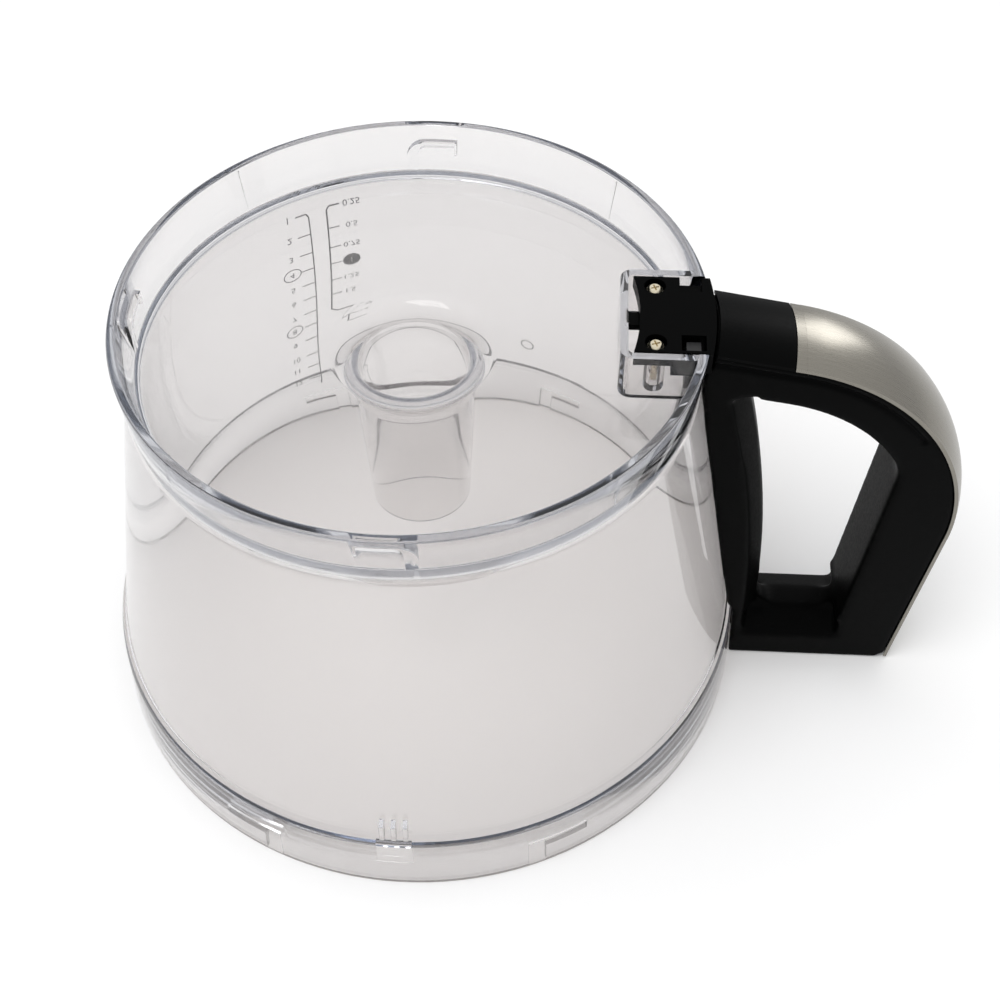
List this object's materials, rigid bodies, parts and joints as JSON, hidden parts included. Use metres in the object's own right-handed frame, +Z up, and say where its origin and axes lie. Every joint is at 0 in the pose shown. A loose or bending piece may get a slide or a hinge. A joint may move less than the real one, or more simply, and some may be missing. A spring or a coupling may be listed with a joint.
{
  "type": "food processor work bowl",
  "caption": "Clear tapered food processor work bowl standing on its rim, with a black loop handle, steel trim, central drive tube and a sprung interlock rod.",
  "frame": {"origin": "on the bowl's axis in the plane of the rim's resting edge", "axes": "+Z up the bowl's axis from the rim to the skirt that locks on the machine; +X outward through the handle; +Y across the handle"},
  "size_m": [0.2867, 0.2204, 0.1537],
  "materials": {
    "clear_plastic": "clear and glossy",
    "black_plastic": "fine satin texture",
    "trim_steel": "brushed along the grip",
    "screw_metal": "plated",
    "rod_plastic": "plain moulded",
    "spring_steel": "drawn wire"
  },
  "bodies": {
    "bowl": {"work_bowl": "clear_plastic", "handle_frame": "black_plastic", "top_cover": "black_plastic", "steel_trim": "trim_steel", "foot_block": "black_plastic", "foot_screws": "screw_metal", "channel_cover": "black_plastic", "return_spring": "spring_steel"},
    "interlock_rod": {"push_rod": "rod_plastic"}
  },
  "joints": [
    {"name": "rod_slide", "type": "slide", "parent": "bowl", "child": "interlock_rod", "axis": [0, 0, 1], "range_m": [0, 0.005], "stiffness_N_per_m": 250, "springref_m": -0.004, "deforming": ["return_spring"]}
  ]
}
